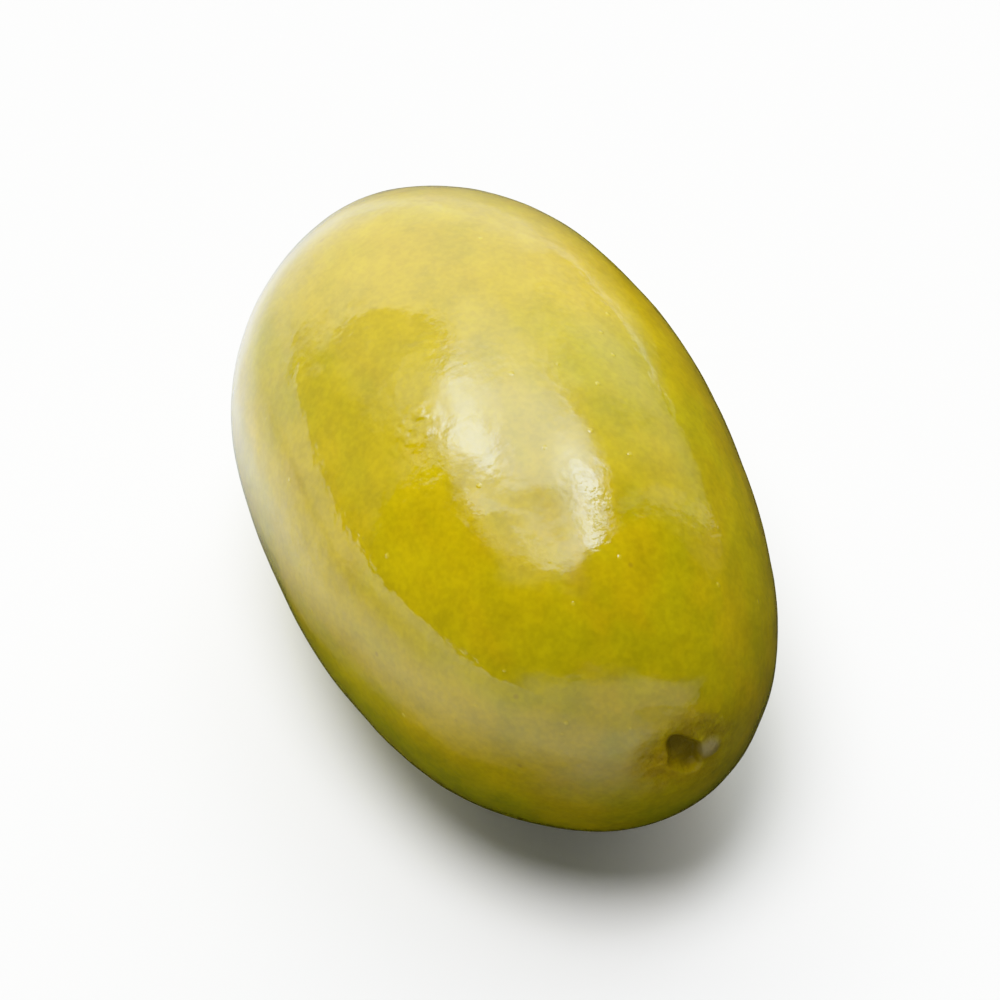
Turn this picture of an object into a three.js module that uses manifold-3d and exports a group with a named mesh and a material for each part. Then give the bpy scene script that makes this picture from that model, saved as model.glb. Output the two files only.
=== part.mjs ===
// A green olive lying on its side, in millimetres. +X runs to the stem end and +Z is up.
// The fruit is one grown piece, so it is one closed solid.
import * as THREE from "three";
import { mergeVertices } from "three/addons/utils/BufferGeometryUtils.js";
import Module from "manifold-3d";

const { cos, sin, exp, hypot, atan2, PI } = Math;
const { degToRad, smoothstep } = THREE.MathUtils;

// Body: a long oval, fuller behind the middle and flattened a little towards the stem
const HALF_LENGTH = 18.2;
const HALF_WIDTH = 11.45;
const FULLNESS = { slope: -0.019, ends: 0.136, twist: -0.043 };
const STEM_OVAL = 0.094;

// The long axis bows to one side, and the stem end leans further the same way
const BOW = 0.55;
const BOW_MIDDLE = 0.4;
const STEM_LEAN = 1.13;
const LEAN_POWER = 8;
const SIDE_TURN = degToRad(18.7);

// Stem scar, off the axis: a shallow saucer, a low ragged lip, a cup and a stub of the torn stalk
const SCAR_MIDDLE = { side: 0.05, up: 0.8 };
const SAUCER = { inner: 1.3, radius: 2.9, depth: 0.2 };
const LIP = { radius: 1.4, width: 0.35, height: 0.04 };
const CUP = { inner: 0.75, radius: 1.25, depth: 0.5 };
const STUB = { side: 1.27, up: -0.65, radius: 0.55, height: 0.3 };
const RAGGED = [
  { waves: 2, size: 0.24, phase: 0.17 },
  { waves: 4, size: 0.1, phase: 2.79 },
  { waves: 3, size: 0.03, phase: 4.45 },
];

// Blossom end: the body tapers to a soft point with a small nub on it
const TAPER = { radius: 4.6, height: 1.3 };
const NUB = { radius: 1.0, height: 0.4 };

// Broad swells over the whole skin: wave numbers per millimetre along the fruit's own axes
const SWELLS = [
  { height: 0.08, along: 0.21, side: 0.17, up: -0.08, phase: 0.6 },
  { height: 0.06, along: -0.13, side: 0.29, up: 0.22, phase: 2.1 },
  { height: 0.04, along: 0.37, side: -0.11, up: 0.31, phase: 4.0 },
  { height: 0.03, along: 0.52, side: 0.36, up: -0.27, phase: 5.2 },
];

// Shallow dents: place on the skin as polar angle from the stem and turn about the axis
const DENTS = [
  { polar: 61, turn: 84, radius: 2.3, depth: 0.1 },
  { polar: 96, turn: 38, radius: 3.1, depth: 0.12 },
  { polar: 72, turn: 158, radius: 2.8, depth: 0.14 },
  { polar: 118, turn: 118, radius: 2.4, depth: 0.1 },
  { polar: 48, turn: 232, radius: 2.6, depth: 0.13 },
  { polar: 104, turn: 214, radius: 3.4, depth: 0.16 },
  { polar: 133, turn: 305, radius: 2.5, depth: 0.12 },
  { polar: 64, turn: 330, radius: 3.0, depth: 0.12 },
  { polar: 22, turn: 312, radius: 3.8, depth: 0.38 },
];

// The fruit rests on a small flat spot
const FLAT_DEPTH = 0.2;

// Facets: rings crowd towards both ends, where the detail is finest
const SEGMENTS = 68;
const RINGS = 84;
const RING_CROWDING = 0.8;

function bell(distance) {
  return exp(-(distance ** 2));
}

// Half the width of the body's round section, before anything is raised from it or pressed in
function sectionRadius(polar, turn) {
  const c = cos(polar);
  const stemward = Math.max(c, 0);
  const fullness = 1 + FULLNESS.slope * c + FULLNESS.ends * c ** 2 + FULLNESS.twist * c ** 3;
  const oval = 1 - STEM_OVAL * stemward ** 2 * cos(2 * turn);
  return HALF_WIDTH * sin(polar) * fullness * oval;
}

// A point of the smooth body. x runs along the axis, y to the side it bows to, z across both
function bodyPoint(polar, turn) {
  const c = cos(polar);
  const radius = sectionRadius(polar, turn);
  const lean = STEM_LEAN * Math.max(c, 0) ** LEAN_POWER;
  const shift = lean + BOW * (c ** 2 - BOW_MIDDLE);
  return new THREE.Vector3(HALF_LENGTH * c, radius * cos(turn) + shift, radius * sin(turn));
}

function outward(polar, turn) {
  const radius = sectionRadius(polar, turn);
  const slope = radius / HALF_WIDTH ** 2;
  return new THREE.Vector3(
    cos(polar) / HALF_LENGTH,
    slope * cos(turn),
    slope * sin(turn),
  ).normalize();
}

function stemScar(distance, axisTurn) {
  const side = distance * cos(axisTurn) - SCAR_MIDDLE.side;
  const up = distance * sin(axisTurn) - SCAR_MIDDLE.up;
  const radius = hypot(side, up);
  const turn = atan2(up, side);
  const torn = RAGGED.reduce((sum, r) => sum + r.size * cos(r.waves * turn + r.phase), 1);
  const ragged = radius * torn;
  const saucer = -SAUCER.depth * (1 - smoothstep(radius, SAUCER.inner, SAUCER.radius));
  const lip = LIP.height * bell((ragged - LIP.radius) / LIP.width);
  const cup = -CUP.depth * (1 - smoothstep(ragged, CUP.inner, CUP.radius));
  const toStub = hypot(side - STUB.side, up - STUB.up);
  const stub = STUB.height * bell(toStub / STUB.radius);
  return saucer + lip + cup + stub;
}

function blossomEnd(radius) {
  const taper = TAPER.height * bell(radius / TAPER.radius);
  const nub = NUB.height * bell(radius / NUB.radius);
  return taper + nub;
}

function swellHeight(point) {
  return SWELLS.reduce((sum, wave) => {
    const angle = wave.along * point.x + wave.side * point.y + wave.up * point.z;
    return sum + wave.height * sin(angle + wave.phase);
  }, 0);
}

function dentDepth(point) {
  return DENTS.reduce((sum, dent) => {
    const middle = bodyPoint(degToRad(dent.polar), degToRad(dent.turn));
    return sum + dent.depth * bell(point.distanceTo(middle) / dent.radius);
  }, 0);
}

// A point of the finished skin in the part's own axes
function skinPoint(polar, turn) {
  const point = bodyPoint(polar, turn);
  const radius = sectionRadius(polar, turn);
  const end = cos(polar) > 0 ? stemScar(radius, turn) : blossomEnd(radius);
  const relief = swellHeight(point) - dentDepth(point) + end;
  point.addScaledVector(outward(polar, turn), relief);
  return point.applyAxisAngle(new THREE.Vector3(1, 0, 0), SIDE_TURN);
}

// Turns an even step between the poles, 0 to 1, into a polar angle
function crowded(step) {
  return PI * (step - (RING_CROWDING * sin(2 * PI * step)) / (2 * PI));
}

function fruitGeometry() {
  const ball = new THREE.SphereGeometry(1, SEGMENTS, RINGS);
  ball.deleteAttribute("normal");
  ball.deleteAttribute("uv");
  const geometry = mergeVertices(ball);
  const place = geometry.attributes.position;
  for (let i = 0; i < place.count; i += 1) {
    const across = hypot(place.getX(i), place.getZ(i));
    const step = atan2(across, place.getY(i)) / PI;
    const turn = atan2(place.getX(i), place.getZ(i));
    const point = skinPoint(crowded(step), turn);
    place.setXYZ(i, point.x, point.y, point.z);
  }
  return geometry;
}

// Moves the origin under the middle of the fruit, at the height where the flat spot is cut
function standOnOrigin(geometry) {
  geometry.computeBoundingBox();
  const { min, max } = geometry.boundingBox;
  geometry.translate(-(min.x + max.x) / 2, -(min.y + max.y) / 2, -min.z - FLAT_DEPTH);
}

const wasm = await Module();
wasm.setup();

function solidFrom(geometry) {
  const mesh = new wasm.Mesh({
    numProp: 3,
    vertProperties: geometry.attributes.position.array,
    triVerts: new Uint32Array(geometry.index.array),
  });
  return new wasm.Manifold(mesh);
}

function geometryFrom(solid) {
  const mesh = solid.getMesh();
  const geometry = new THREE.BufferGeometry();
  geometry.setAttribute("position", new THREE.BufferAttribute(mesh.vertProperties, 3));
  geometry.setIndex(new THREE.BufferAttribute(mesh.triVerts, 1));
  geometry.computeVertexNormals();
  return geometry;
}

// Everything below the surface that the fruit lies on
function groundSolid() {
  const side = 4 * HALF_WIDTH;
  const block = new THREE.BoxGeometry(side, side, side);
  block.deleteAttribute("normal");
  block.deleteAttribute("uv");
  block.translate(0, 0, -side / 2);
  return solidFrom(mergeVertices(block));
}

function oliveMesh() {
  const geometry = fruitGeometry();
  standOnOrigin(geometry);
  const flattened = solidFrom(geometry).subtract(groundSolid());
  const skin = new THREE.MeshStandardMaterial({
    color: 0xb2a21e,
    roughness: 0.25,
    metalness: 0,
  });
  const mesh = new THREE.Mesh(geometryFrom(flattened), skin);
  mesh.name = "olive";
  return mesh;
}

const olive = new THREE.Group();
olive.add(oliveMesh());

export default olive;
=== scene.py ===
"""A green olive on a pale floor, in metres: +X runs to the stem end and +Z is up."""

from math import cos, pi, radians, sin, tau

import bpy
import numpy as np
from mathutils import Matrix, Vector, noise


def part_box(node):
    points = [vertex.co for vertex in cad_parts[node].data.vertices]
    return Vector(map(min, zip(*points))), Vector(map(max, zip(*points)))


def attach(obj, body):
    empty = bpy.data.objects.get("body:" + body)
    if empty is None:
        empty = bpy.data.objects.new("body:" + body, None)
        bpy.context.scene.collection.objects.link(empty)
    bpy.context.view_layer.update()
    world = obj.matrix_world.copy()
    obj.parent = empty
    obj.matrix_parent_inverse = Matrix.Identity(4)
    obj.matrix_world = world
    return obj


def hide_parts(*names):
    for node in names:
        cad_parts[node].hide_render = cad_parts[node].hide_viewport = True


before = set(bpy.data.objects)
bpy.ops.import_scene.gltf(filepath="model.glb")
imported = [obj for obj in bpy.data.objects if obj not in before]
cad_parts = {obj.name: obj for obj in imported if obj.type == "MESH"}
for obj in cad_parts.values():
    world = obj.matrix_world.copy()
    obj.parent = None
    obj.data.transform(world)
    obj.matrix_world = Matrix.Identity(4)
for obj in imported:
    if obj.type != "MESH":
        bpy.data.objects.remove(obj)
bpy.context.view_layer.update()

MM = 0.001

# Body, in millimetres and degrees: the same driving values as the solid's
HALF_LENGTH = 18.2
HALF_WIDTH = 11.45
FULLNESS = {"slope": -0.019, "ends": 0.136, "twist": -0.043}
STEM_OVAL = 0.094
BOW = 0.55
BOW_MIDDLE = 0.4
STEM_LEAN = 1.13
LEAN_POWER = 8
SIDE_TURN = radians(18.7)
FLAT_DEPTH = 0.2

# Stem scar
SCAR_MIDDLE = {"side": 0.05, "up": 0.8}
SAUCER = {"inner": 1.3, "radius": 2.9, "depth": 0.2}
LIP = {"radius": 1.4, "width": 0.35, "height": 0.04}
CUP = {"inner": 0.75, "radius": 1.25, "depth": 0.5}
STUB = {"side": 1.27, "up": -0.65, "radius": 0.55, "height": 0.3}
RAGGED = [
    {"waves": 2, "size": 0.24, "phase": 0.17},
    {"waves": 4, "size": 0.1, "phase": 2.79},
    {"waves": 3, "size": 0.03, "phase": 4.45},
]

# Blossom end
TAPER = {"radius": 4.6, "height": 1.3}
NUB = {"radius": 1.0, "height": 0.4}

# Broad swells and shallow dents
SWELLS = [
    {"height": 0.08, "along": 0.21, "side": 0.17, "up": -0.08, "phase": 0.6},
    {"height": 0.06, "along": -0.13, "side": 0.29, "up": 0.22, "phase": 2.1},
    {"height": 0.04, "along": 0.37, "side": -0.11, "up": 0.31, "phase": 4.0},
    {"height": 0.03, "along": 0.52, "side": 0.36, "up": -0.27, "phase": 5.2},
]
DENTS = [
    {"polar": 61, "turn": 84, "radius": 2.3, "depth": 0.1},
    {"polar": 96, "turn": 38, "radius": 3.1, "depth": 0.12},
    {"polar": 72, "turn": 158, "radius": 2.8, "depth": 0.14},
    {"polar": 118, "turn": 118, "radius": 2.4, "depth": 0.1},
    {"polar": 48, "turn": 232, "radius": 2.6, "depth": 0.13},
    {"polar": 104, "turn": 214, "radius": 3.4, "depth": 0.16},
    {"polar": 133, "turn": 305, "radius": 2.5, "depth": 0.12},
    {"polar": 64, "turn": 330, "radius": 3.0, "depth": 0.12},
    {"polar": 22, "turn": 312, "radius": 3.8, "depth": 0.38},
]

# Fine skin relief: ripples, with each layer's wavelength and height
RIPPLES = [
    {"wave": 2.6, "height": 0.03},
    {"wave": 1.0, "height": 0.011},
]

# Mesh
SEGMENTS = 320
RINGS = 300
RING_CROWDING = 0.6
INSET = 0.03

# Camera: it looks down on the lying fruit from the side that gives the photograph's view of it
CAMERA_AZIMUTH = 66.35
CAMERA_ELEVATION = 49.87
CAMERA_DISTANCE = 0.5
VIEW_WIDTH = 0.048
SENSOR_WIDTH = 36

# Light
SOFTBOX_LIGHT = 14.0
SOFTBOX_EVEN = 0.4
SOFTBOX_SHARE = 0.3
SOFTBOX_COLOUR = (0.82, 0.92, 1.0)
WALL_LIGHT = 2.4
FRONT_LIGHT = 0.95
WALL_COLOUR = (0.92, 0.89, 0.75)
ROOM_LIGHT = 0.03
BACKDROP_LIGHT = 1.0
KEY_LIGHT = 2.9
KEY_AZIMUTH = CAMERA_AZIMUTH - 50
KEY_ELEVATION = 80
KEY_SIZE = 30
FILL_LIGHT = 1.2
FILL_AZIMUTH = CAMERA_AZIMUTH + 158
FILL_ELEVATION = 22
FILL_SIZE = 60
SIDE_LIGHT = 0.35
SIDE_AZIMUTH = CAMERA_AZIMUTH - 65
SIDE_ELEVATION = 10
SIDE_SIZE = 60

# The mirrored room, by direction in degrees. Pitch runs up from the horizon behind the fruit and on over
# its top, and yaw to the right. A pair of values is where a thing starts to show and where it is full
ARCH = {"pitch": 5, "yaw": -10, "high": 88, "wide": 68}
BOX_LEFT = (-42, -29)
BOX_LEFT_SLANTS = [{"below": 78, "slant": -0.35}, {"below": 58, "slant": -0.55}]
BOX_RIGHT = (31, 17)
BOX_RIGHT_SLANT = {"below": 62, "slant": 0.7}
BOX_BOTTOM = (32, 64)
BOX_TOP = (1.10, 1.02)
BOX_TOP_SLANT = 0.0026
BOX_DIM = {"arch": (0.92, 0.96), "yaw": (8, -30), "share": 0.75}
BOX_GAPS = [
    {"inner": (0.82, 0.89), "outer": (0.955, 0.89), "yaw": (10, -4), "share": 0.6},
    {"inner": (0.88, 0.92), "outer": (0.955, 0.92), "yaw": (8, 18), "share": 0.85},
]
LEFT_LAMP = {"pitch": 70.5, "yaw": -25, "high": 10, "wide": 6, "share": 0.8}
RIGHT_LAMPS = [
    {"pitch": 72, "yaw": 15, "high": 7, "wide": 8, "share": 1.2},
    {"pitch": 83.5, "yaw": 13, "high": 3.5, "wide": 4.5, "share": 0.9},
]
GLOW_PITCH = {"low": 80, "high": 100, "soft_low": 5, "soft_high": 14}
GLOW_YAW = {"low": -25, "high": 0, "soft_low": 12, "soft_high": 15}
GLOW_SHARE = 0.05
BACK_WALL = {"left": (-60, -49), "right": (28, 14), "top": (56, 38)}
BACK_WALL_CORNER = {"above": 12, "bend": -0.034}
BACK_WALL_BRIGHTER = {"pitch": (8, 32), "yaw": (25, -20), "share": 0.4}
RIGHT_WALL = {"pitch": 15, "yaw": 5, "reach": 62, "bottom": (-10, 12), "share": 1.08}
RIGHT_RIM = {"inner": (0.93, 0.97), "outer": (1.01, 0.97), "yaw": (20, 36), "share": 0.35}
LEFT_WALL_STEPS = [{"yaw": (-90, -70), "share": 0.17}, {"yaw": (-58, -50), "share": 0.26}]
LEFT_WALL_PANEL = {"yaw": (-50, -40), "pitch": (40, 56), "share": 0.62}
LEFT_WALL_TOP = (79, 73)
LEFT_WALL_RIGHT = (-10, -30)
FRONT_TOP = (153, 170)
FRONT_SLOPES = {"turn": 26, "left": 0.28, "right": -0.2}
FRONT_YAW = {"low": -20, "high": 45, "soft_low": 20, "soft_high": 40}

# The floor, in millimetres: side runs to the right and front towards the camera. An edge is where the
# weighed sum of both passes from one end of its reach to the other
FLOOR_COLOUR = (0.9, 0.9, 0.9, 1)
LANE = {"side": 0.55, "front": -1, "reach": (-90, 60)}
CLOSE_BY = {"side": -22, "front": -25, "reach": (15, 75)}
LEFT_HALF = (-2, -24)
BACKWARD = {"side": -1.2, "front": -1, "reach": (20, 140), "share": 0.74}
SHEET_EDGES = [{"side": -0.8, "front": 1, "reach": (8, 34)}, {"side": 0.55, "front": 1, "reach": (-28, 14)}]
STRIP_LEFT = {"side": 1, "front": -0.27, "reach": (8, 18)}
STRIP_BACK = {"side": -0.8, "front": 1, "reach": (-12, 26)}
STRIP_SHARE = 0.45
FARTHER = {"front": (50, 90), "share": 0.3}
# The dark ring close round the fruit is painted shade that only reflections see
PAINTED_SHADE_RING = {"side": 1, "front": 6, "reach": (16, 31)}
RING_BREAK = {"front": (18, 27), "side": (-5, 4), "share": 0.9}
# Colours that only the skin's reflections see: painted shade and painted light
PAINTED_REFLECTED_SHADE = (0.025, 0.022, 0.008, 1)
PAINTED_REFLECTED_LIGHT = (0.88, 0.92, 0.98, 1)
PAINTED_REFLECTED_SHEET = (0.56, 0.68, 0.76, 1)
# Colours that only bounced light sees: painted light on the left, painted shade on the right
PAINTED_BOUNCE_EDGE = {"side": 1, "front": 0.5, "reach": (-14, 10)}
PAINTED_BOUNCE_LIGHT = (0.9, 0.86, 0.5, 1)
PAINTED_BOUNCE_SHADE = (0.26, 0.25, 0.17, 1)
FLOOR_FINISH = {"Roughness": 0.9, "Specular IOR Level": 0.1}
FLOOR_SIZE = 4

# Film response: scene light against shown light, with a soft shoulder up to the white level
WHITE_LEVEL = 2.0
RESPONSE = [(0.15, 0.30), (0.25, 0.48), (0.375, 0.66), (0.5, 0.80), (0.75, 0.95)]


# Shape

def bell(distance):
    return np.exp(-(distance ** 2))


def smoothstep(value, low, high):
    t = np.clip((value - low) / (high - low), 0, 1)
    return t * t * (3 - 2 * t)


def section_radius(polar, turn):
    c = np.cos(polar)
    fullness = 1 + FULLNESS["slope"] * c + FULLNESS["ends"] * c ** 2 + FULLNESS["twist"] * c ** 3
    oval = 1 - STEM_OVAL * np.maximum(c, 0) ** 2 * np.cos(2 * turn)
    return HALF_WIDTH * np.sin(polar) * fullness * oval


def body_points(polar, turn):
    c = np.cos(polar)
    radius = section_radius(polar, turn)
    shift = STEM_LEAN * np.maximum(c, 0) ** LEAN_POWER + BOW * (c ** 2 - BOW_MIDDLE)
    places = [HALF_LENGTH * c, radius * np.cos(turn) + shift, radius * np.sin(turn)]
    return np.stack(places, axis=-1)


def outward(polar, turn):
    slope = section_radius(polar, turn) / HALF_WIDTH ** 2
    ways = np.stack([np.cos(polar) / HALF_LENGTH, slope * np.cos(turn), slope * np.sin(turn)], axis=-1)
    return ways / np.linalg.norm(ways, axis=-1, keepdims=True)


def stem_scar(section, section_turn):
    side = section * np.cos(section_turn) - SCAR_MIDDLE["side"]
    up = section * np.sin(section_turn) - SCAR_MIDDLE["up"]
    radius, turn = np.hypot(side, up), np.arctan2(up, side)
    torn = 1 + sum(r["size"] * np.cos(r["waves"] * turn + r["phase"]) for r in RAGGED)
    ragged = radius * torn
    saucer = -SAUCER["depth"] * (1 - smoothstep(radius, SAUCER["inner"], SAUCER["radius"]))
    lip = LIP["height"] * bell((ragged - LIP["radius"]) / LIP["width"])
    cup = -CUP["depth"] * (1 - smoothstep(ragged, CUP["inner"], CUP["radius"]))
    to_stub = np.hypot(side - STUB["side"], up - STUB["up"])
    stub = STUB["height"] * bell(to_stub / STUB["radius"])
    return saucer + lip + cup + stub


def blossom_end(radius):
    taper = TAPER["height"] * bell(radius / TAPER["radius"])
    nub = NUB["height"] * bell(radius / NUB["radius"])
    return taper + nub


def swell_height(points):
    x, y, z = points[..., 0], points[..., 1], points[..., 2]
    waves = (s["height"] * np.sin(s["along"] * x + s["side"] * y + s["up"] * z + s["phase"]) for s in SWELLS)
    return sum(waves)


def dent_depth(points):
    depth = np.zeros(points.shape[:-1])
    for dent in DENTS:
        middle = body_points(radians(dent["polar"]), radians(dent["turn"]))
        distance = np.linalg.norm(points - middle, axis=-1)
        depth += dent["depth"] * bell(distance / dent["radius"])
    return depth


def ripple_height(points):
    heights = [
        sum(r["height"] * noise.noise(Vector(point) / r["wave"]) for r in RIPPLES)
        for point in points.reshape(-1, 3)
    ]
    return np.array(heights).reshape(points.shape[:-1])


def skin_points(polar, turn):
    """The skin in the part's own axes, in millimetres, before its origin is moved to the floor."""
    points = body_points(polar, turn)
    radius = section_radius(polar, turn)
    end = np.where(np.cos(polar) > 0, stem_scar(radius, turn), blossom_end(radius))
    relief = swell_height(points) - dent_depth(points) + end + ripple_height(points) - INSET
    points = points + outward(polar, turn) * relief[..., None]
    return points @ np.array(Matrix.Rotation(-SIDE_TURN, 3, "X"))


def crowded(step):
    return pi * (step - RING_CROWDING * np.sin(tau * step) / tau)


def grid_faces(rings, segments):
    """Quads between neighbouring rings, and a fan of triangles round each pole."""
    def vertex(ring, segment):
        return ring * segments + segment % segments

    last = rings - 1
    stem_pole = rings * segments
    tip_pole = stem_pole + 1
    faces = [
        (vertex(r, s), vertex(r, s + 1), vertex(r + 1, s + 1), vertex(r + 1, s))
        for r in range(last)
        for s in range(segments)
    ]
    faces += [(stem_pole, vertex(0, s + 1), vertex(0, s)) for s in range(segments)]
    faces += [(tip_pole, vertex(last, s), vertex(last, s + 1)) for s in range(segments)]
    return faces


def make_olive():
    steps = np.arange(1, RINGS) / RINGS
    polar, turn = np.meshgrid(crowded(steps), np.arange(SEGMENTS) * tau / SEGMENTS, indexing="ij")
    rings = skin_points(polar, turn).reshape(-1, 3)
    poles = skin_points(np.array([0.0, pi]), np.array([0.0, 0.0]))
    points = np.concatenate([rings, poles])
    low, high = points.min(axis=0), points.max(axis=0)
    shift = -np.array([(low[0] + high[0]) / 2, (low[1] + high[1]) / 2, low[2] + FLAT_DEPTH])
    points += shift
    points[:, 2] = np.maximum(points[:, 2], 0)
    mesh = bpy.data.meshes.new("olive_skin")
    mesh.from_pydata((points * MM).tolist(), [], grid_faces(RINGS - 1, SEGMENTS))
    mesh.validate()
    mesh.shade_smooth()
    olive = bpy.data.objects.new("olive_fruit", mesh)
    bpy.context.collection.objects.link(olive)
    olive.data.materials.append(olive_material(shift))
    return olive


# Materials

def add_node(tree, kind, inputs=None, **settings):
    """Adds a shader node. inputs maps a socket's name or number to a value or to another socket."""
    made = tree.nodes.new(kind)
    for key, value in settings.items():
        setattr(made, key, value)
    for key, value in (inputs or {}).items():
        if isinstance(value, bpy.types.NodeSocket):
            tree.links.new(value, made.inputs[key])
        else:
            made.inputs[key].default_value = value
    return made


def new_material(name):
    material = bpy.data.materials.new(name)
    material.use_nodes = True
    tree = material.node_tree
    return material, tree, tree.nodes["Principled BSDF"]


def math(tree, operation, *values):
    return add_node(tree, "ShaderNodeMath", dict(enumerate(values)), operation=operation).outputs[0]


def product(tree, *values):
    result = values[0]
    for value in values[1:]:
        result = math(tree, "MULTIPLY", result, value)
    return result


def plus(tree, value, share, more):
    """A value with a share of another one added to it."""
    return math(tree, "MULTIPLY_ADD", more, share, value)


def past(tree, value, limit):
    """How far a value lies above a limit, and 0 below it."""
    return math(tree, "MAXIMUM", math(tree, "SUBTRACT", value, limit), 0.0)


def below(tree, value, limit):
    return math(tree, "MAXIMUM", math(tree, "SUBTRACT", limit, value), 0.0)


def square(tree, value):
    return math(tree, "MULTIPLY", value, value)


def length_of(tree, across, up):
    return math(tree, "SQRT", math(tree, "ADD", square(tree, across), square(tree, up)))


def offset(tree, value, middle, size):
    """How far a value lies from a middle, counted in the given size."""
    return math(tree, "DIVIDE", math(tree, "SUBTRACT", value, middle), size)


def vector_math(tree, operation, *values):
    return add_node(tree, "ShaderNodeVectorMath", dict(enumerate(values)), operation=operation).outputs


def scaled(tree, vector, factor):
    inputs = {0: vector, "Scale": factor}
    return add_node(tree, "ShaderNodeVectorMath", inputs, operation="SCALE").outputs[0]


def along(tree, place, axis):
    return vector_math(tree, "DOT_PRODUCT", place, tuple(axis))["Value"]


def ramp(tree, value, low, high, smooth=True):
    """0 below low and 1 above high, or the other way round when low is the larger."""
    inputs = {"Value": value, "From Min": low, "From Max": high}
    kind = "SMOOTHSTEP" if smooth else "LINEAR"
    return add_node(tree, "ShaderNodeMapRange", inputs, interpolation_type=kind).outputs[0]


def mix_colour(tree, amount, first, second):
    inputs = {"Factor": amount, "A": first, "B": second}
    made = tree.nodes.new("ShaderNodeMix")
    made.data_type = "RGBA"
    colour_sockets = {"Factor": 0, "A": 6, "B": 7}
    for name, value in inputs.items():
        socket = made.inputs[colour_sockets[name]]
        if isinstance(value, bpy.types.NodeSocket):
            tree.links.new(value, socket)
        else:
            socket.default_value = value
    return made.outputs[2]


def noise_field(tree, place, wave, detail=2.0, roughness=0.5, stretch=(1, 1, 1), seed=0.0):
    """Smooth random values, about 0.5 on average; wave is the size of one patch in millimetres."""
    stretched = vector_math(tree, "MULTIPLY", place, stretch)[0]
    inputs = {"Vector": stretched, "W": seed, "Scale": 1 / wave, "Detail": detail, "Roughness": roughness}
    return add_node(tree, "ShaderNodeTexNoise", inputs, noise_dimensions="4D").outputs["Fac"]


def near(tree, place, centre, inner, outer):
    """1 within inner millimetres of a point and 0 beyond outer."""
    distance = vector_math(tree, "DISTANCE", place, centre)["Value"]
    return ramp(tree, distance, outer, inner)


def specks(tree, place, spacing, size, share, seed=0.0):
    """Round dots, one to a cell, in the given share of the cells; size is a dot's radius in millimetres."""
    moved = vector_math(tree, "ADD", place, (seed, seed, seed))[0]
    cells = add_node(tree, "ShaderNodeTexVoronoi", {"Vector": moved, "Scale": 1 / spacing})
    dot = ramp(tree, cells.outputs["Distance"], size / spacing, 0.3 * size / spacing)
    pick = add_node(tree, "ShaderNodeSeparateColor", {0: cells.outputs["Color"]}).outputs[0]
    return math(tree, "MULTIPLY", dot, math(tree, "LESS_THAN", pick, share))


def skin_place(polar, turn, shift):
    """A point of the skin in millimetres in the part's own axes, for a material's mask."""
    point = skin_points(np.array([radians(polar)]), np.array([radians(turn)]))[0]
    return tuple(point + shift)


def near_skin(tree, place, spot, shift):
    """1 round a spot of the skin that is given by polar angle, turn and reach."""
    middle = skin_place(spot["polar"], spot["turn"], shift)
    return near(tree, place, middle, spot["inner"], spot["outer"])


# Colours of the skin and the scar
AMBER = (0.50, 0.30, 0.001, 1)
GOLDEN = (0.47, 0.34, 0.001, 1)
OLIVE = (0.41, 0.33, 0.001, 1)
GREEN = (0.27, 0.265, 0.001, 1)
PALE = (0.60, 0.47, 0.03, 1)
BRONZE = (0.20, 0.13, 0.006, 1)
# Brown of the scar's cup, darkened partly as painted shade in its hollow
CUP_BROWN_AND_SHADE = (0.16, 0.115, 0.003, 1)
STRAW = (0.22, 0.18, 0.07, 1)
# Bright gold, partly the skin's own and partly painted light
GOLD_AND_PAINTED_LIGHT = (0.66, 0.41, 0.001, 1)

# Large patches of skin: where they are, as the dents, how far they reach and how strong they are. The bright
# gold ones are partly the skin's own gold and partly painted light
PATCHES = [
    {"polar": 64, "turn": 116, "inner": 1.0, "outer": 8.0, "share": 0.25, "colour": GOLD_AND_PAINTED_LIGHT},
    {"polar": 107, "turn": 38, "inner": 1.5, "outer": 6.5, "share": 0.55, "colour": GOLD_AND_PAINTED_LIGHT},
    {"polar": 140, "turn": 290, "inner": 1.5, "outer": 9.0, "share": 0.4, "colour": GOLD_AND_PAINTED_LIGHT},
    {"polar": 125, "turn": 68, "inner": 2.0, "outer": 10.0, "share": 0.4, "colour": AMBER},
    {"polar": 52, "turn": 8, "inner": 1.5, "outer": 7.5, "share": 0.3, "colour": GREEN},
]

# One gritty patch
STIPPLE = {"polar": 87, "turn": 99, "inner": 0.5, "outer": 1.8}

# Stained places: the scar's middle, the two halves of its cup, whose brown is partly painted shade, its stub
# and the blossom end's point
STEM = {"polar": 4.6, "turn": 83}
CUP_LOW = {"polar": 2.2, "turn": 60, "inner": 0.1, "outer": 1.3}
CUP_HIGH = {"polar": 7.0, "turn": 88, "inner": 0.3, "outer": 1.3}
STUB_TIP = {"polar": 6.6, "turn": 14, "inner": 0.3, "outer": 0.9}
BLOSSOM_TIP = {"polar": 180, "turn": 0, "inner": 0.15, "outer": 0.9}

# Shares of the colours that are mixed over the skin
RIPE_SHARE = 0.45
# Greening at random, plus a darker green towards the underside that is painted shade
GREENING_AND_UNDERSIDE_SHADE = {"heights": (16, 3), "share": 0.46}
MOTTLE_SHARE = 0.5
FIBRE_SHARE = 0.2
GRAIN_SHARE = 0.3
DARKER = {"Hue": 0.505, "Value": 0.62}
PALE_DOTS = {"spacing": 1.5, "size": 0.16, "share": 0.5}
PALE_SHARE = 0.4
DARK_DOTS = {"spacing": 2.3, "size": 0.2, "share": 0.35, "seed": 31.0}
DARK_SHARE = 0.5
# The saucer's bronze is partly stain and partly painted shade
SAUCER_STAIN_AND_SHADE = 0.6

# Roughness of the skin, what stippled skin adds to it, and how much coat the dry scar lacks
SMOOTH_SKIN = 0.3
STIPPLED_MORE = 0.15
SCAR_DRYNESS = 0.85

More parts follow.
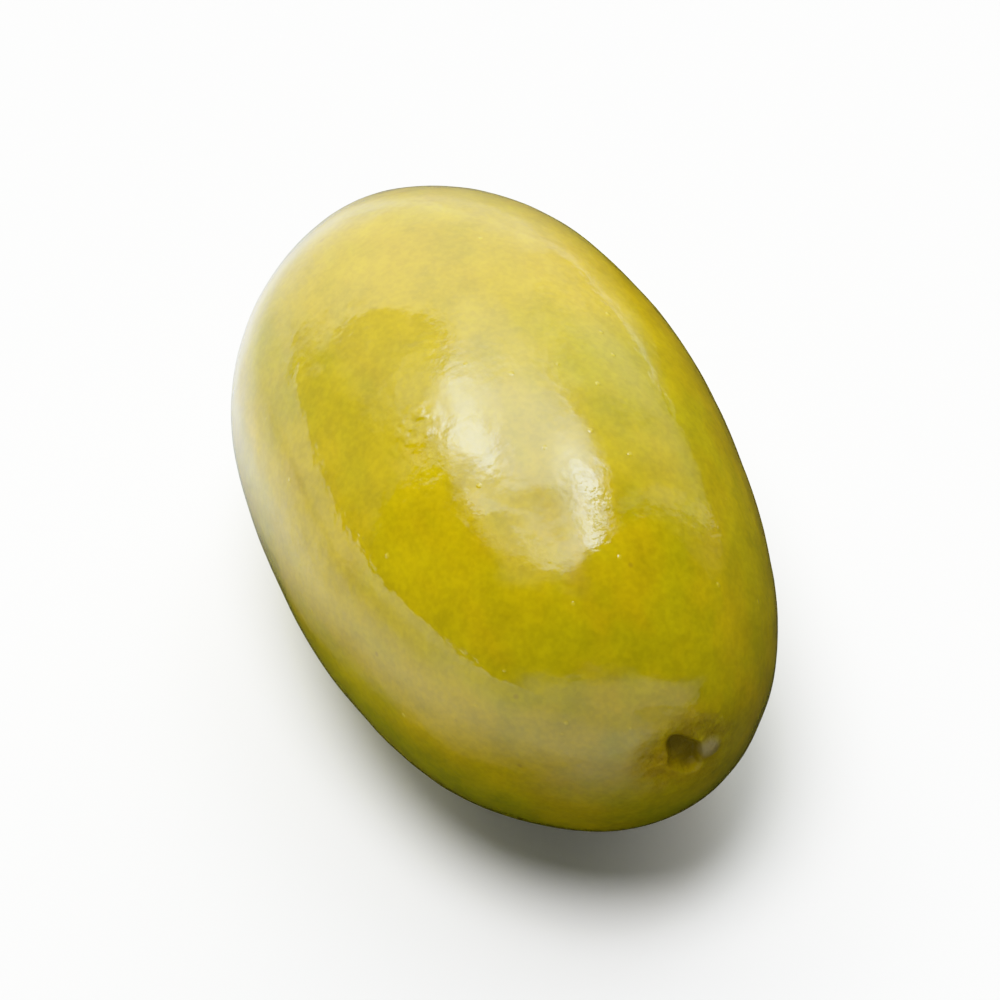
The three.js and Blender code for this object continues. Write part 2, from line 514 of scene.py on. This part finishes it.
# Height of the finest relief, in millimetres
SMOOTH_PORES = 0.008
STIPPLED_PORES = 0.02
RAISED_DOTS = 0.02
GRIT_HEIGHT = 0.09
BARK_HEIGHT = 0.15

SKIN_FINISH = {
    "IOR": 1.45,
    "Specular IOR Level": 0.02,
    "Subsurface Weight": 0.3,
    "Subsurface Radius": (1.0, 0.8, 0.15),
    "Subsurface Scale": 0.002,
    "Coat IOR": 1.5,
    "Coat Roughness": 0.035,
}


def skin_colour(tree, place, shift):
    """Broad patches of olive, gold and amber, the bright gold ones partly painted light, greener and darker
    towards the underside as painted shade.
    """
    height = add_node(tree, "ShaderNodeSeparateXYZ", {0: place}).outputs["Z"]
    patches = noise_field(tree, place, wave=7, detail=4, roughness=0.6, stretch=(0.6, 1, 1), seed=1.7)
    colour = mix_colour(tree, ramp(tree, patches, 0.40, 0.56), OLIVE, GOLDEN)
    ripe = noise_field(tree, place, wave=4.5, detail=3, roughness=0.6, stretch=(0.5, 1, 1), seed=11.3)
    colour = mix_colour(tree, product(tree, ramp(tree, ripe, 0.52, 0.72), RIPE_SHARE), colour, AMBER)
    # Greener at random, and darker green towards the underside as painted shade
    green_and_shade = noise_field(tree, place, wave=6, detail=3, stretch=(0.7, 1, 1), seed=5.1)
    green_and_shade = plus(tree, green_and_shade, GREENING_AND_UNDERSIDE_SHADE["share"], ramp(tree, height, *GREENING_AND_UNDERSIDE_SHADE["heights"]))
    colour = mix_colour(tree, ramp(tree, green_and_shade, 0.54, 0.95), colour, GREEN)
    # Patches of colour; the bright gold ones are partly painted light
    for patch in PATCHES:
        amount = product(tree, near_skin(tree, place, patch, shift), patch["share"])
        colour = mix_colour(tree, amount, colour, patch["colour"])
    return colour


def mottled(tree, place, colour):
    """Mottling, lengthwise fibres and fine grain."""
    mottle = noise_field(tree, place, wave=2.0, detail=4, roughness=0.65, seed=2.2)
    fibres = noise_field(tree, place, wave=1.2, detail=2, stretch=(0.2, 1, 1), seed=8.4)
    grain = noise_field(tree, place, wave=0.28, detail=1, seed=4.4)
    shade = product(tree, ramp(tree, grain, 0.36, 0.64, smooth=False), GRAIN_SHARE)
    shade = plus(tree, shade, FIBRE_SHARE, ramp(tree, fibres, 0.3, 0.7, smooth=False))
    shade = plus(tree, shade, MOTTLE_SHARE, ramp(tree, mottle, 0.33, 0.67, smooth=False))
    darker = add_node(tree, "ShaderNodeHueSaturation", {"Color": colour, **DARKER}).outputs[0]
    return mix_colour(tree, shade, darker, colour)


def scarred(tree, place, stem, colour, shift):
    """The bronze saucer and brown cup, both partly painted shade, the straw-coloured stub, and a small brown
    blossom point.
    """
    # A bronze stain round the scar, darkened partly as painted shade
    saucer = near(tree, place, stem, inner=1.2, outer=3.6)
    ragged = noise_field(tree, place, wave=0.7, detail=3, seed=3.3)
    saucer = product(tree, saucer, ramp(tree, ragged, 0.3, 0.6))
    colour = mix_colour(tree, product(tree, saucer, SAUCER_STAIN_AND_SHADE), colour, BRONZE)
    # The cup's brown, partly its own and partly painted shade in the hollow
    cup_low = near_skin(tree, place, CUP_LOW, shift)
    cup_high = near_skin(tree, place, CUP_HIGH, shift)
    colour = mix_colour(tree, math(tree, "MAXIMUM", cup_low, cup_high), colour, CUP_BROWN_AND_SHADE)
    colour = mix_colour(tree, near_skin(tree, place, STUB_TIP, shift), colour, STRAW)
    return mix_colour(tree, near_skin(tree, place, BLOSSOM_TIP, shift), colour, BRONZE)


def skin_relief(tree, place, stippled, pale_dots, scar, shift):
    """Pores, raised pale dots, one gritty patch and the rough dry scar, in millimetres."""
    pores = noise_field(tree, place, wave=0.42, detail=2, roughness=0.45, seed=9.1)
    relief = product(tree, pores, plus(tree, SMOOTH_PORES, STIPPLED_PORES, stippled))
    relief = plus(tree, relief, RAISED_DOTS, pale_dots)
    grit = noise_field(tree, place, wave=0.55, detail=1, seed=12.5)
    relief = plus(tree, relief, GRIT_HEIGHT, product(tree, grit, near_skin(tree, place, STIPPLE, shift)))
    bark = noise_field(tree, place, wave=0.5, detail=3, seed=7.7)
    return plus(tree, relief, BARK_HEIGHT, product(tree, bark, scar))


def olive_material(shift):
    material, tree, shader = new_material("olive_skin")
    coordinates = add_node(tree, "ShaderNodeTexCoord").outputs["Object"]
    place = scaled(tree, coordinates, 1 / MM)
    stem = skin_place(STEM["polar"], STEM["turn"], shift)

    colour = mottled(tree, place, skin_colour(tree, place, shift))
    pale_dots = specks(tree, place, **PALE_DOTS)
    colour = mix_colour(tree, product(tree, pale_dots, PALE_SHARE), colour, PALE)
    dark_dots = specks(tree, place, **DARK_DOTS)
    colour = mix_colour(tree, product(tree, dark_dots, DARK_SHARE), colour, BRONZE)
    colour = scarred(tree, place, stem, colour, shift)

    stippled = ramp(tree, noise_field(tree, place, wave=2.8, detail=2, seed=6.6), 0.45, 0.62)
    scar = near(tree, place, stem, inner=1.6, outer=3.3)
    relief = skin_relief(tree, place, stippled, pale_dots, scar, shift)
    inputs = {"Strength": 1.0, "Distance": MM, "Height": relief}
    bump = add_node(tree, "ShaderNodeBump", inputs).outputs[0]

    # The scar is dry, so it has hardly any coat
    tree.links.new(plus(tree, 1.0, -SCAR_DRYNESS, scar), shader.inputs["Coat Weight"])
    tree.links.new(plus(tree, SMOOTH_SKIN, STIPPLED_MORE, stippled), shader.inputs["Roughness"])
    tree.links.new(colour, shader.inputs["Base Color"])
    tree.links.new(bump, shader.inputs["Normal"])
    tree.links.new(bump, shader.inputs["Coat Normal"])
    for name, value in SKIN_FINISH.items():
        shader.inputs[name].default_value = value
    return material


def edge_of(tree, side, front, edge, smooth=True):
    """0 at one end of an edge's reach and 1 at the other; the edge weighs both ways of the floor."""
    weighed = math(tree, "MULTIPLY_ADD", side, edge["side"], math(tree, "MULTIPLY", front, edge["front"]))
    return ramp(tree, weighed, *edge["reach"], smooth=smooth)


def beyond(tree, place, spot):
    """0 close to a spot of the floor and 1 past its reach."""
    middle = rightward() * spot["side"] + frontward() * spot["front"]
    distance = vector_math(tree, "DISTANCE", place, tuple(middle))["Value"]
    return ramp(tree, distance, *spot["reach"], smooth=False)


def painted_reflection_floor(tree, place, side, front):
    """Painted reflection: painted light to the left and behind, a painted lit sheet in front, and a painted
    dark ring of shade close round the fruit.
    """
    lane = edge_of(tree, side, front, LANE)
    close_by = math(tree, "SUBTRACT", 1.0, beyond(tree, place, CLOSE_BY))
    left = product(tree, ramp(tree, side, *LEFT_HALF), math(tree, "MAXIMUM", lane, close_by))
    back = product(tree, edge_of(tree, side, front, BACKWARD, smooth=False), BACKWARD["share"])

    # The sheet has a dimmer strip on its right, and both are dimmer farther away
    strip = edge_of(tree, side, front, STRIP_LEFT)
    sheet = product(tree, *(edge_of(tree, side, front, edge) for edge in SHEET_EDGES))
    sheet = product(tree, sheet, plus(tree, 1.0, -STRIP_SHARE, strip))
    dim = product(tree, edge_of(tree, side, front, STRIP_BACK), strip, STRIP_SHARE)
    farther = plus(tree, 1.0, -FARTHER["share"], ramp(tree, front, *FARTHER["front"]))
    ahead = product(tree, math(tree, "MAXIMUM", sheet, dim), farther)

    ring_break = product(
        tree,
        ramp(tree, front, *RING_BREAK["front"]),
        ramp(tree, side, *RING_BREAK["side"]),
        RING_BREAK["share"],
    )
    clear = math(tree, "MAXIMUM", beyond(tree, place, PAINTED_SHADE_RING), ring_break)
    white = product(tree, math(tree, "MAXIMUM", left, back), clear)
    painted_reflection_colour = mix_colour(tree, white, PAINTED_REFLECTED_SHADE, PAINTED_REFLECTED_LIGHT)
    return mix_colour(tree, product(tree, ahead, clear), painted_reflection_colour, PAINTED_REFLECTED_SHEET)


def floor_finish(tree, colour):
    return add_node(tree, "ShaderNodeBsdfPrincipled", {"Base Color": colour, **FLOOR_FINISH}).outputs[0]


def either_shader(tree, choice, first, second):
    """The first shader where choice is 0 and the second where it is 1."""
    return add_node(tree, "ShaderNodeMixShader", {0: choice, 1: first, 2: second}).outputs[0]


def floor_material():
    """A pale floor. The wet skin mirrors painted light and painted shade on it, laid out as cards would be
    round the fruit, and the light it bounces is painted brighter on the left and darker on the right.
    """
    material, tree, shader = new_material("pale_floor_painted_reflections")
    tree.nodes.remove(shader)
    position = add_node(tree, "ShaderNodeNewGeometry").outputs["Position"]
    place = scaled(tree, position, 1 / MM)
    side = along(tree, place, rightward())
    front = along(tree, place, frontward())
    painted_reflection_colour = painted_reflection_floor(tree, place, side, front)
    # Bounced light is painted brighter on the left and darker on the right
    painted_bounce = mix_colour(tree, edge_of(tree, side, front, PAINTED_BOUNCE_EDGE), PAINTED_BOUNCE_LIGHT, PAINTED_BOUNCE_SHADE)
    paths = add_node(tree, "ShaderNodeLightPath").outputs
    unseen = either_shader(
        tree, paths["Is Glossy Ray"], floor_finish(tree, painted_bounce), floor_finish(tree, painted_reflection_colour)
    )
    shown = either_shader(tree, paths["Is Camera Ray"], unseen, floor_finish(tree, FLOOR_COLOUR))
    tree.links.new(shown, tree.nodes["Material Output"].inputs["Surface"])
    return material


# Stage

def make_floor():
    bpy.ops.mesh.primitive_plane_add(size=FLOOR_SIZE)
    floor = bpy.context.object
    floor.name = "floor"
    floor.data.materials.append(floor_material())


def direction(azimuth, elevation):
    """Unit vector: azimuth 0 points to -Y and 90 to +X, elevation is up from the floor."""
    a, e = radians(azimuth), radians(elevation)
    return Vector((sin(a) * cos(e), -cos(a) * cos(e), sin(e)))


def frontward():
    return direction(CAMERA_AZIMUTH, 0)


def rightward():
    return direction(CAMERA_AZIMUTH + 90, 0)


def aim(thing, target):
    thing.rotation_euler = (target - thing.location).to_track_quat("-Z", "Y").to_euler()


def band(tree, value, low, high, soft_low, soft_high):
    """1 between low and high, falling to 0 over the soft widths outside them."""
    rise = ramp(tree, value, low - soft_low, low)
    fall = ramp(tree, value, high + soft_high, high)
    return math(tree, "MULTIPLY", rise, fall)


def lamp_glow(tree, pitch, yaw, lamp):
    """A round glow, half as bright at the lamp's own height and width in degrees from its middle."""
    up = square(tree, offset(tree, pitch, lamp["pitch"], lamp["high"]))
    across = square(tree, offset(tree, yaw, lamp["yaw"], lamp["wide"]))
    return math(tree, "POWER", 0.5, math(tree, "ADD", up, across))


def soft_box(tree, pitch, yaw, arch):
    """A large soft box overhead with slanted sides, three brighter lamps in it and a faint glow above."""
    upper, lower = BOX_LEFT_SLANTS
    slanted = plus(tree, yaw, upper["slant"], below(tree, pitch, upper["below"]))
    left = plus(tree, slanted, lower["slant"], below(tree, pitch, lower["below"]))
    right = plus(tree, yaw, BOX_RIGHT_SLANT["slant"], below(tree, pitch, BOX_RIGHT_SLANT["below"]))
    top = plus(tree, arch, BOX_TOP_SLANT, past(tree, yaw, 0))
    gap = math(tree, "MAXIMUM", *(arch_strip(tree, yaw, arch, gap) for gap in BOX_GAPS))
    shape = product(
        tree,
        ramp(tree, left, *BOX_LEFT),
        ramp(tree, right, *BOX_RIGHT),
        ramp(tree, top, *BOX_TOP),
        ramp(tree, pitch, *BOX_BOTTOM),
        math(tree, "SUBTRACT", 1.0, gap),
    )
    lamps = product(tree, lamp_glow(tree, pitch, slanted, LEFT_LAMP), LEFT_LAMP["share"])
    for lamp in RIGHT_LAMPS:
        lamps = plus(tree, lamps, lamp["share"], lamp_glow(tree, pitch, yaw, lamp))
    box = product(tree, shape, plus(tree, SOFTBOX_EVEN, 1 - SOFTBOX_EVEN, lamps))
    outer = product(tree, ramp(tree, arch, *BOX_DIM["arch"]), ramp(tree, yaw, *BOX_DIM["yaw"]))
    box = product(tree, box, plus(tree, 1.0, -BOX_DIM["share"], outer))
    glow = product(tree, band(tree, pitch, **GLOW_PITCH), band(tree, yaw, **GLOW_YAW), GLOW_SHARE)
    return math(tree, "MAXIMUM", box, glow)


def arch_strip(tree, yaw, arch, strip):
    """A narrow strip along the arch, on one side."""
    inner = ramp(tree, arch, *strip["inner"])
    outer = ramp(tree, arch, *strip["outer"])
    return product(tree, inner, outer, ramp(tree, yaw, *strip["yaw"]), strip["share"])


def back_wall(tree, pitch, yaw):
    """The wall behind, with a round upper left corner, brighter towards the top."""
    bend = square(tree, past(tree, pitch, BACK_WALL_CORNER["above"]))
    curved = plus(tree, yaw, BACK_WALL_CORNER["bend"], bend)
    wall = product(
        tree,
        ramp(tree, curved, *BACK_WALL["left"]),
        ramp(tree, yaw, *BACK_WALL["right"]),
        ramp(tree, pitch, *BACK_WALL["top"]),
    )
    brighter = product(
        tree, ramp(tree, pitch, *BACK_WALL_BRIGHTER["pitch"]), ramp(tree, yaw, *BACK_WALL_BRIGHTER["yaw"])
    )
    return product(tree, wall, plus(tree, 1.0, BACK_WALL_BRIGHTER["share"], brighter))


def side_walls(tree, pitch, yaw, arch):
    """Dimmer walls: the right one fades away from one middle and has a rim, the left one has steps."""
    up = math(tree, "SUBTRACT", pitch, RIGHT_WALL["pitch"])
    across = math(tree, "SUBTRACT", yaw, RIGHT_WALL["yaw"])
    fading = ramp(tree, length_of(tree, across, up), RIGHT_WALL["reach"], 0, smooth=False)
    right = product(tree, fading, ramp(tree, pitch, *RIGHT_WALL["bottom"]), RIGHT_WALL["share"])
    right = math(tree, "ADD", right, arch_strip(tree, yaw, arch, RIGHT_RIM))
    far, near_by = (product(tree, ramp(tree, yaw, *s["yaw"]), s["share"]) for s in LEFT_WALL_STEPS)
    left = math(tree, "ADD", far, near_by)
    panel = product(
        tree, ramp(tree, yaw, *LEFT_WALL_PANEL["yaw"]), ramp(tree, pitch, *LEFT_WALL_PANEL["pitch"])
    )
    left = plus(tree, left, LEFT_WALL_PANEL["share"], panel)
    left = product(tree, left, ramp(tree, pitch, *LEFT_WALL_TOP), ramp(tree, yaw, *LEFT_WALL_RIGHT))
    return math(tree, "MAXIMUM", left, right)


def front_light(tree, pitch, yaw):
    """Low light in front, under an edge that rises to both sides."""
    turn = FRONT_SLOPES["turn"]
    edge = plus(tree, pitch, FRONT_SLOPES["left"], math(tree, "MINIMUM", yaw, turn))
    edge = plus(tree, edge, FRONT_SLOPES["right"], past(tree, yaw, turn))
    return product(tree, ramp(tree, edge, *FRONT_TOP), band(tree, yaw, **FRONT_YAW))


def make_world():
    """A dark room: a soft box overhead, a lit wall behind, dimmer walls beside and a low light in front."""
    world = bpy.data.worlds.new("room")
    world.use_nodes = True
    tree = world.node_tree
    way = add_node(tree, "ShaderNodeTexCoord").outputs["Generated"]
    backward = along(tree, way, -frontward())
    pitch = math(tree, "DEGREES", math(tree, "ARCTAN2", along(tree, way, (0, 0, 1)), backward))
    yaw = math(tree, "DEGREES", math(tree, "ARCSINE", along(tree, way, rightward())))
    up = offset(tree, pitch, ARCH["pitch"], ARCH["high"])
    arch = length_of(tree, up, offset(tree, yaw, ARCH["yaw"], ARCH["wide"]))

    # Rays that the skin mirrors see the soft box at full strength, and the rest see a share of it
    paths = add_node(tree, "ShaderNodeLightPath").outputs
    inputs = {0: paths["Is Glossy Ray"], 2: SOFTBOX_SHARE, 3: 1.0}
    share = add_node(tree, "ShaderNodeMix", inputs, data_type="FLOAT").outputs[0]
    box = product(tree, soft_box(tree, pitch, yaw, arch), share, SOFTBOX_LIGHT)
    walls = math(tree, "MAXIMUM", back_wall(tree, pitch, yaw), side_walls(tree, pitch, yaw, arch))
    light = plus(tree, ROOM_LIGHT, FRONT_LIGHT, front_light(tree, pitch, yaw))
    light = vector_math(tree, "ADD", scaled(tree, WALL_COLOUR, product(tree, walls, WALL_LIGHT)), light)[0]
    light = vector_math(tree, "ADD", scaled(tree, SOFTBOX_COLOUR, box), light)[0]
    shown = mix_colour(tree, paths["Is Camera Ray"], light, (BACKDROP_LIGHT,) * 3 + (1,))
    tree.links.new(shown, tree.nodes["Background"].inputs["Color"])
    bpy.context.scene.world = world


def make_lamp(name, strength, azimuth, elevation, size):
    """A soft light from far away, which the wet skin doesn't mirror."""
    light = bpy.data.lights.new(name, "SUN")
    light.energy = strength
    light.angle = radians(size)
    lamp = bpy.data.objects.new(name, light)
    bpy.context.collection.objects.link(lamp)
    lamp.location = direction(azimuth, elevation)
    aim(lamp, Vector((0, 0, 0)))
    lamp.visible_glossy = False


def make_camera():
    camera = bpy.data.cameras.new("camera")
    camera.sensor_width = SENSOR_WIDTH
    camera.lens = SENSOR_WIDTH * CAMERA_DISTANCE / VIEW_WIDTH
    eye = bpy.data.objects.new("camera", camera)
    bpy.context.collection.objects.link(eye)
    low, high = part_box("olive")
    target = (Vector(low) + Vector(high)) / 2
    eye.location = target + direction(CAMERA_AZIMUTH, CAMERA_ELEVATION) * CAMERA_DISTANCE
    aim(eye, target)
    bpy.context.scene.camera = eye


def set_film():
    view = bpy.context.scene.view_settings
    view.view_transform = "Standard"
    view.use_curve_mapping = True
    curves = view.curve_mapping
    curves.white_level = (WHITE_LEVEL,) * 3
    for light, shown in RESPONSE:
        curves.curves[3].points.new(light, shown)
    curves.update()


def main():
    make_camera()
    olive = make_olive()
    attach(olive, "root")
    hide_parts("olive")
    make_floor()
    make_world()
    make_lamp("key", KEY_LIGHT, KEY_AZIMUTH, KEY_ELEVATION, KEY_SIZE)
    make_lamp("fill", FILL_LIGHT, FILL_AZIMUTH, FILL_ELEVATION, FILL_SIZE)
    make_lamp("side", SIDE_LIGHT, SIDE_AZIMUTH, SIDE_ELEVATION, SIDE_SIZE)
    set_film()


main()
